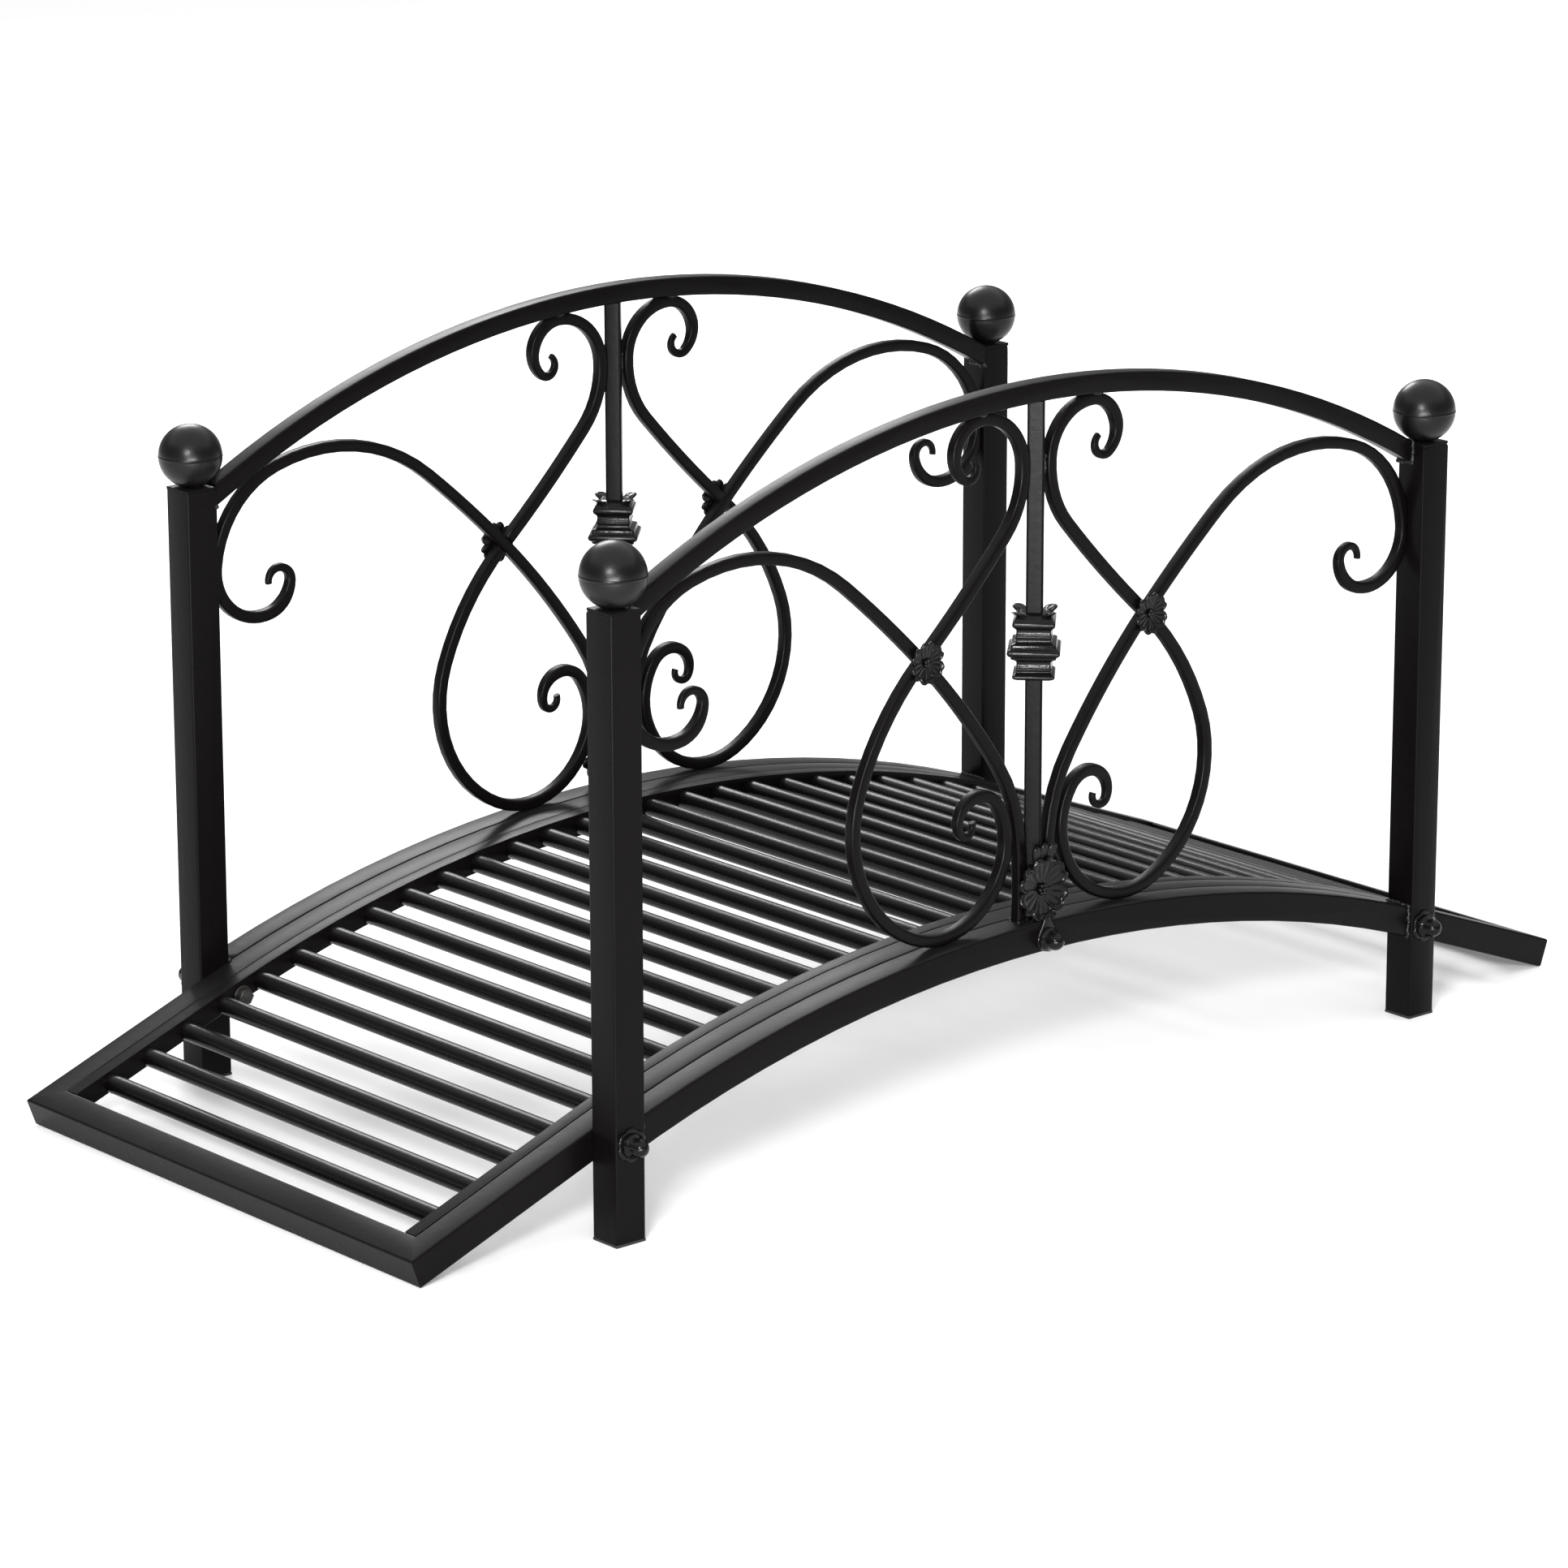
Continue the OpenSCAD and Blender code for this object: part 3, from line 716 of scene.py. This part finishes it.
class BRIDGE_OT_cast_collars(bpy.types.Operator):
    """Casts the stepped square collars on the centre bars"""

    bl_idname = "bridge.cast_collars"
    bl_label = "Cast the Collars"

    def execute(self, context):
        low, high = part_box("collar_near")
        wide = (high.x - low.x) / math.sqrt(2)
        middle = (low + high) / 2
        tall = high.z - low.z
        profile = [(0.50, 0.0), (0.64, 0.004)]
        profile += ridge(0.68, 0.80, 0.012, 0.100)
        profile += cove(0.70, 0.645, 0.66, 0.112, 0.150, 4)
        profile += ridge(0.655, 0.68, 0.152, 0.185, 4)
        profile += cove(0.66, 0.64, 0.82, 0.190, 0.330)
        profile += [(0.845, 0.335), (0.85, 0.350), (0.86, 0.362)]
        profile += ridge(0.89, 1.0, 0.375, 0.490)
        profile += [(0.86, 0.500), (0.85, 0.540), (0.83, 0.556)]
        profile += cove(0.80, 0.66, 0.67, 0.562, 0.640, 6)
        profile += ridge(0.665, 0.69, 0.642, 0.680, 4)
        profile += cove(0.67, 0.65, 0.74, 0.685, 0.800)
        profile += ridge(0.75, 0.81, 0.805, 0.900)
        profile += [(0.74, 0.906), (0.725, 0.930), (0.68, 0.945), (0.64, 0.975), (0.50, 1.0)]
        tiers = [(share * wide, rise * tall) for share, rise in profile]
        first = tiers[0][0]
        parts = [raised(square_plate(first, 0.045 * first), tiers)]
        for i in range(4):
            leaf = collar_leaf(0.27 * wide, 0.23 * tall)
            leaf.matrix_world = (
                Matrix.Translation((0, 0, 0.89 * tall)) @ Matrix.Rotation(math.pi * (0.25 + i / 2), 4, "Z"))
            settle(leaf)
            parts.append(leaf)
        collar = joined("collar", parts)
        collar.matrix_world = (
            Matrix.Translation((middle.x, middle.y, low.z)) @ Matrix.Rotation(math.pi / 4, 4, "Z"))
        settle(collar)
        smooth(collar, 50)
        two_of(collar, "cast_collar", PAINTS["cast_black"], "cast_black", "collar")
        return {"FINISHED"}


def petal(length, width, thickness, notch, cup, creases, lip):
    """One cast petal along +X from the origin, facing +Z: fanned creases inside a raised lip."""
    bpy.ops.mesh.primitive_uv_sphere_add(segments=64, ring_count=32, radius=1, location=(0, 0, 0))
    leaf = bpy.context.view_layer.objects.active
    for vertex in leaf.data.vertices:
        ahead, beside, face = vertex.co
        along = (ahead + 1) / 2
        rim = math.hypot(ahead, beside)
        fan = math.atan2(beside, ahead + 1.25)
        dip = notch * math.exp(-((beside / 0.26) ** 2)) * max(0.0, ahead) ** 2
        rise = cup * along ** 2
        if face > 0:
            rise += lip * math.exp(-(((rim - 0.84) / 0.15) ** 2)) * along
            rise -= creases * (0.5 + 0.5 * math.cos(16 * fan)) * max(0.0, 1 - rim * rim) * along
        vertex.co = Vector((
            length * (along - dip),
            beside * width / 2 * (0.5 + 0.5 * along),
            rise + face * thickness / 2,
        ))
    return leaf


def whorl(count, first_turn, turn, out, sizes, lift=0.0, slope=0.0):
    """Petals set round the origin, each starting some way out, every other one a little lower."""
    parts = []
    for i in range(count):
        leaf = petal(*sizes)
        low = -0.5 * MM if i % 2 else 0.0
        leaf.matrix_world = (
            Matrix.Rotation(first_turn + turn * i, 4, "Z")
            @ Matrix.Translation((out, 0, sizes[2] / 2 + lift + low))
            @ Matrix.Rotation(slope, 4, "Y")
        )
        settle(leaf)
        parts.append(leaf)
    return parts


def bead_cluster(bead, out, lift, count):
    """Round beads in a ring round one bead."""
    parts = []
    for i in range(count + 1):
        far = 0 if i == count else out
        turn = 2 * math.pi * i / count
        spot = (far * math.cos(turn), far * math.sin(turn), lift + (0.5 * bead if i == count else 0))
        bpy.ops.mesh.primitive_uv_sphere_add(segments=20, ring_count=12, radius=bead, location=spot)
        parts.append(bpy.context.view_layer.objects.active)
        settle(parts[-1])
    return parts


def face_out(thing, spot):
    """Turns a piece that faces +Z so that it faces the near side, at a spot."""
    thing.matrix_world = Matrix.Translation(spot) @ Matrix.Rotation(math.pi / 2, 4, "X")
    settle(thing)


class BRIDGE_OT_cast_flowers(bpy.types.Operator):
    """Casts the flowers at the foot of the centre bars and the rosettes on the crossings"""

    bl_idname = "bridge.cast_flowers"
    bl_label = "Cast the Flowers"

    def execute(self, context):
        low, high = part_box("centre_flower_near")
        reach = (high.x - low.x) / 2 * 1.10
        sixth = math.pi / 3
        parts = whorl(
            6, math.pi / 2, sixth, 0.08 * reach,
            (0.94 * reach, 1.02 * reach, 2.4 * MM, 0.15, 2.6 * MM, 0.7 * MM, 2.4 * MM))
        parts += bead_cluster(1.5 * MM, 2.7 * MM, 3.2 * MM, 6)
        parts += whorl(
            3, math.pi / 2 - 0.26, 0.26, 0.76 * reach,
            (0.62 * reach, 0.40 * reach, 3.0 * MM, 0.0, 2.6 * MM, 0.5 * MM, 1.0 * MM), 0.6 * MM)
        parts += whorl(
            3, -math.pi / 2 - 0.36, 0.36, 0.86 * reach,
            (0.38 * reach, 0.26 * reach, 2.2 * MM, 0.0, 1.6 * MM, 0.4 * MM, 0.8 * MM), 0.2 * MM)
        flower = joined("flower", parts)
        face_out(flower, ((low.x + high.x) / 2, high.y - 0.6 * MM, (low.z + high.z) / 2))
        smooth(flower, 60)
        two_of(flower, "cast_flower", PAINTS["cast_black"], "cast_black", "centre_flower")
        low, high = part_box("rosette_near_left")
        reach = (high.x - low.x) / 2
        parts = whorl(
            6, math.pi / 2, sixth, 0.06 * reach,
            (0.98 * reach, 1.04 * reach, 2.2 * MM, 0.12, 1.8 * MM, 0.6 * MM, 1.6 * MM))
        parts += bead_cluster(1.5 * MM, 1.8 * MM, 2.6 * MM, 5)
        rosette = joined("rosette", parts)
        face_out(rosette, ((low.x + high.x) / 2, high.y, (low.z + high.z) / 2))
        smooth(rosette, 60)
        four_of(rosette, "cast_rosette", PAINTS["cast_black"], "cast_black", "rosette")
        return {"FINISHED"}


def disc(radius, vertices=48):
    bpy.ops.mesh.primitive_circle_add(vertices=vertices, radius=radius, fill_type="NGON", location=(0, 0, 0))
    return bpy.context.view_layer.objects.active


def domed_nut(name, flange, dome, height):
    """A cap nut facing +Z with a wide rounded base and a domed end."""
    shoulder = 0.46 * height
    tiers = [(flange, 0.0), (flange, 0.12 * height)]
    tiers += [(0.97 * flange, 0.17 * height), (0.90 * flange, 0.22 * height)]
    tiers += [(1.10 * dome, 0.30 * height), (1.02 * dome, 0.38 * height), (dome, shoulder)]
    for degrees in (12, 24, 36, 48, 60, 72, 82, 88):
        turn = math.radians(degrees)
        tiers.append((dome * math.cos(turn), shoulder + (height - shoulder) * math.sin(turn)))
    nut = raised(disc(flange / 2), tiers)
    nut.name = name
    smooth(nut, 50)
    return nut


def scalloped(name, radius, thickness, lobes):
    """A flower-edged washer facing +Z with a raised rim on each lobe."""
    plate = disc(radius, 96)
    for vertex in plate.data.vertices:
        turn = math.atan2(vertex.co.y, vertex.co.x)
        vertex.co *= 1 - 0.10 * abs(math.cos(turn * lobes / 2)) ** 6
    raised(plate, [(1.0, 0.0), (1.0, 0.5 * thickness), (0.96, 0.9 * thickness), (0.90, thickness),
                   (0.74, 0.75 * thickness), (0.66, thickness)])
    plate.name = name
    smooth(plate, 50)
    return plate


def leaf_plate(name, radius, thickness, tip):
    """A round washer facing +Z drawn up into a leaf's point along +Y."""
    plate = disc(radius, 64)
    for vertex in plate.data.vertices:
        up = max(0.0, vertex.co.y / radius)
        vertex.co.y += (tip - radius) * up ** 3
        vertex.co.x *= 1 - 0.35 * up ** 2
    raised(plate, [(1.0, 0.0), (1.0, 0.5 * thickness), (0.95, 0.9 * thickness), (0.88, thickness)])
    plate.name = name
    smooth(plate, 50)
    return plate


class BRIDGE_OT_fit_fasteners(bpy.types.Operator):
    """Fits the cap nuts, flower washers, leaf washers and bolts"""

    bl_idname = "bridge.fit_fasteners"
    bl_label = "Fit the Fasteners"

    def execute(self, context):
        glossy = PAINTS["cast_black"]
        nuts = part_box("post_cap_nuts")
        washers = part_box("post_flower_washers")
        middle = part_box("middle_leaf_washers")
        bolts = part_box("middle_bolts")
        flange = nuts[1].z - nuts[0].z
        post_x = nuts[1].x - flange / 2
        bolt_z = (nuts[0].z + nuts[1].z) / 2
        height = washers[0].y - nuts[0].y
        first_nut = domed_nut("cap_nut", flange, flange * 0.76, height)
        face_out(first_nut, (-post_x, washers[0].y, bolt_z))
        first_washer = scalloped("flower_washer", (washers[1].z - washers[0].z) / 2 * 1.05, 2 * MM, 6)
        face_out(first_washer, (-post_x, washers[0].y + 2 * MM, bolt_z))
        nut_set = [first_nut]
        washer_set = [first_washer]
        for across, along in ((False, True), (True, False), (True, True)):
            nut_set.append(copied(first_nut, "cap_nut", across, along))
            washer_set.append(copied(first_washer, "flower_washer", across, along))
        hand_over(joined("cap_nuts", nut_set), glossy, "cast_black", "post_cap_nuts")
        hand_over(joined("flower_washers", washer_set), glossy, "cast_black", "post_flower_washers")
        bolt_flange = bolts[1].z - bolts[0].z
        middle_z = (bolts[0].z + bolts[1].z) / 2
        head = domed_nut("bolt_head", bolt_flange, bolt_flange * 0.76, middle[0].y - bolts[0].y)
        face_out(head, (0, middle[0].y, middle_z))
        plate = leaf_plate("leaf_washer", bolt_flange / 2 + 0.5 * MM, 2 * MM, middle[1].z - middle_z)
        face_out(plate, (0, middle[0].y + 2 * MM, middle_z))
        hand_over(joined("bolt_heads", [head, copied(head, "bolt_head", across=True)]), glossy,
                  "cast_black", "middle_bolts")
        hand_over(joined("leaf_washers", [plate, copied(plate, "leaf_washer", across=True)]), glossy,
                  "cast_black", "middle_leaf_washers")
        small = context.scene.bridge_steel.small_corner
        for node in ("post_bolts", "post_bolt_washers", "middle_inserts"):
            hand_over(rounded(node, small), PAINTS["black_hardware"], "black_hardware", node)
        return {"FINISHED"}


# ---- Weld beads ----


def bead_line(points, radius, step, dice):
    """Overlapping drops of weld along a line."""
    drops = []
    for start, end in zip(points, points[1:]):
        start, end = Vector(start), Vector(end)
        count = max(1, round((end - start).length / step))
        for i in range(count + 1):
            wander = Vector([dice.uniform(-0.25, 0.25) * radius for _ in range(3)])
            drops.append((start.lerp(end, i / count) + wander, radius * dice.uniform(0.75, 1.15)))
    return drops


def poured(name, drops):
    """Melts drops of weld into one smooth bead."""
    first = None
    parts = []
    for spot, radius in drops:
        if first is None:
            bpy.ops.mesh.primitive_ico_sphere_add(subdivisions=2, radius=1, location=(0, 0, 0))
            first = bpy.context.view_layer.objects.active
            first.matrix_world = Matrix.Translation(spot) @ Matrix.Scale(radius, 4)
            parts.append(first)
        else:
            drop = bpy.data.objects.new("drop", first.data.copy())
            bpy.context.scene.collection.objects.link(drop)
            drop.matrix_world = Matrix.Translation(spot) @ Matrix.Scale(radius, 4)
            parts.append(drop)
    bead = joined(name, parts)
    settle(bead)
    use_modifier(bead, "REMESH", mode="VOXEL", voxel_size=0.5 * MM, use_smooth_shade=True)
    use_modifier(bead, "SMOOTH", factor=0.5, iterations=2)
    smooth(bead, 80)
    return bead


def touching(node, other, near=0.25 * MM, apart=14 * MM):
    """Groups of a node's points that lie on another node, one group for each place where they touch."""
    a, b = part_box(node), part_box(other)
    if any(a[0][i] > b[1][i] + near or b[0][i] > a[1][i] + near for i in range(3)):
        return []
    shape = frame["nodes"][other].data
    tree = BVHTree.FromPolygons(
        [vertex.co for vertex in shape.vertices], [tuple(face.vertices) for face in shape.polygons])
    groups = []
    for vertex in frame["nodes"][node].data.vertices:
        spot, _, _, gap = tree.find_nearest(vertex.co)
        if gap > near:
            continue
        home = next((g for g in groups if min((vertex.co - p).length for p in g) < apart), None)
        if home is None:
            groups.append([vertex.co.copy()])
        else:
            home.append(vertex.co.copy())
    return groups


def tacks(group, radius, step, dice):
    """Short beads at both ends of a contact, on its outer and inner side."""
    drops = []
    far = max(((a - b).length, a, b) for a in group for b in group if abs(a.y - b.y) < 0.1 * MM)
    if far[0] < 1 * MM:
        return drops
    for y in (min(p.y for p in group), max(p.y for p in group)):
        for start, other in ((far[1], far[2]), (far[2], far[1])):
            a = Vector((start.x, y, start.z))
            b = Vector((other.x, y, other.z))
            run = min(6 * MM, (b - a).length / 2)
            drops += bead_line([a, a + (b - a).normalized() * run], radius, step, dice)
    return drops


class BRIDGE_OT_run_welds(bpy.types.Operator):
    """Runs weld beads where the steel is joined"""

    bl_idname = "bridge.run_welds"
    bl_label = "Run the Welds"

    def execute(self, context):
        welds = context.scene.bridge_welds
        dice = random.Random(welds.seed)
        size = welds.bead
        step = size * 0.9
        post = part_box("post_near_right")
        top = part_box("top_rail_near")
        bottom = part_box("bottom_rail_near")
        face = post[0].x
        drops = []
        for sx in (-1, 1):
            for sy in (-1, 1):
                rail_end = top[0].z
                depth = top[1].y - top[0].y
                outer, inner = sy * -top[0].y, sy * -top[1].y
                drops += bead_line(
                    [(sx * face, outer, rail_end + depth * 1.1), (sx * face, outer, rail_end),
                     (sx * face, inner, rail_end)], size, step, dice)
                outer, inner = sy * -bottom[0].y, sy * -bottom[1].y
                rail_top = bottom[0].z + RAIL_END_HEIGHT
                drops += bead_line(
                    [(sx * face, inner, rail_top), (sx * face, outer, rail_top),
                     (sx * face, outer, bottom[0].z)], size, step, dice)
        hand_over(poured("rail_welds", drops), PAINTS["weld"], "frame_coat")
        slats = frame["nodes"]["deck_slats"]
        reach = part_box("deck_slats")[1].y
        lows = {}
        for vertex in slats.data.vertices:
            if vertex.co.y > reach - 0.1 * MM:
                key = round(vertex.co.x / SLAT_PITCH)
                lows.setdefault(key, []).append(vertex.co)
        drops = []
        for spots in lows.values():
            middle_x = (min(c.x for c in spots) + max(c.x for c in spots)) / 2
            low_z = min(c.z for c in spots)
            for sy in (-1, 1):
                drops += bead_line(
                    [(middle_x - 2.5 * MM, sy * reach, low_z + 2.4 * MM),
                     (middle_x, sy * reach, low_z + 0.8 * MM),
                     (middle_x + 2.5 * MM, sy * reach, low_z + 2.4 * MM)], size * 0.8, step, dice)
        hand_over(poured("slat_welds", drops), PAINTS["weld"], "frame_coat")
        drops = []
        for side in SIDES:
            rails = [f"top_rail_{side}", f"bottom_rail_{side}", f"centre_bar_{side}"]
            for end in ENDS:
                for kind in ("post_scroll", "heart_scroll", "loop_scroll"):
                    for other in rails + [f"post_{side}_{end}"]:
                        for group in touching(f"{kind}_{side}_{end}", other):
                            drops += tacks(group, size * 0.85, step, dice)
        hand_over(poured("scroll_welds", drops), PAINTS["weld"], "frame_coat")
        return {"FINISHED"}


# ---- Stage ----


def softbox(name, spot, aim, width, height, power):
    light = bpy.data.lights.new(name, "AREA")
    light.shape = "RECTANGLE"
    light.size, light.size_y = width, height
    light.energy = power
    lamp = bpy.data.objects.new(name, light)
    bpy.context.scene.collection.objects.link(lamp)
    lamp.location = spot
    lamp.visible_camera = False
    lamp.rotation_euler = (Vector(aim) - Vector(spot)).to_track_quat("-Z", "Y").to_euler()


class BRIDGE_OT_set_stage(bpy.types.Operator):
    """Sets the floor, the soft studio light and the camera"""

    bl_idname = "bridge.set_stage"
    bl_label = "Set the Stage"

    def execute(self, context):
        stage = context.scene.bridge_stage
        bpy.ops.mesh.primitive_plane_add(size=24, location=(0, 0, 0))
        floor = context.view_layer.objects.active
        floor.name = "studio_floor"
        floor.data.materials.append(PAINTS["floor"])
        world = bpy.data.worlds.new("studio")
        context.scene.world = world
        world.use_nodes = True
        background = world.node_tree.nodes["Background"]
        background.inputs["Color"].default_value = (1, 1, 1, 1)
        background.inputs["Strength"].default_value = 0.32 * stage.daylight
        softbox("ceiling", (0, 0, 5), (0, 0, 0), 14, 14, 640 * stage.daylight)
        softbox("low_box", (-1.75, -2.05, 0.2), (-0.3, -0.2, 0.3), 1.3, 0.22, 75 * stage.daylight)
        softbox("front_box", (-3.0, -2.4, 1.9), (0, 0, 0.3), 0.8, 0.4, 130 * stage.daylight)
        softbox("back_box", (1.5, 3.0, 2.2), (0, 0, 0.2), 1.4, 0.8, 70 * stage.daylight)
        eye = bpy.data.cameras.new("camera")
        eye.lens = stage.lens
        eye.sensor_width = 36
        eye.clip_end = 60
        camera = bpy.data.objects.new("camera", eye)
        context.scene.collection.objects.link(camera)
        camera.matrix_world = (
            Matrix.Translation(stage.place)
            @ Matrix.Rotation(stage.turn, 4, "Z")
            @ Matrix.Rotation(math.pi / 2 - stage.tilt, 4, "X")
            @ Matrix.Rotation(stage.roll, 4, "Z")
        )
        context.scene.camera = camera
        context.scene.view_settings.view_transform = "Standard"
        return {"FINISHED"}


# ---- Add-on ----


STEPS = (
    BRIDGE_OT_round_tubes,
    BRIDGE_OT_forge_scrolls,
    BRIDGE_OT_lay_slats,
    BRIDGE_OT_turn_balls,
    BRIDGE_OT_cast_collars,
    BRIDGE_OT_cast_flowers,
    BRIDGE_OT_fit_fasteners,
    BRIDGE_OT_run_welds,
    BRIDGE_OT_set_stage,
)
GROUPS = {
    "bridge_finish": BridgeFinish,
    "bridge_steel": BridgeSteel,
    "bridge_welds": BridgeWelds,
    "bridge_stage": BridgeStage,
}


class BRIDGE_PT_panel(bpy.types.Panel):
    """Lists the bridge's steps"""

    bl_idname = "BRIDGE_PT_panel"
    bl_label = "Garden Bridge"
    bl_space_type = "VIEW_3D"
    bl_region_type = "UI"
    bl_category = "Bridge"

    def draw(self, context):
        for step in STEPS:
            self.layout.operator(step.bl_idname)


def register():
    for group in GROUPS.values():
        bpy.utils.register_class(group)
    for name, group in GROUPS.items():
        setattr(bpy.types.Scene, name, PointerProperty(type=group))
    for step in STEPS:
        bpy.utils.register_class(step)
    bpy.utils.register_class(BRIDGE_PT_panel)


def unregister():
    bpy.utils.unregister_class(BRIDGE_PT_panel)
    for step in reversed(STEPS):
        bpy.utils.unregister_class(step)
    for name, group in GROUPS.items():
        delattr(bpy.types.Scene, name)
        bpy.utils.unregister_class(group)


def main():
    register()
    mix_paints(bpy.context.scene.bridge_finish)
    for step in STEPS:
        group, action = step.bl_idname.split(".")
        getattr(getattr(bpy.ops, group), action)()


if __name__ == "__main__":
    main()
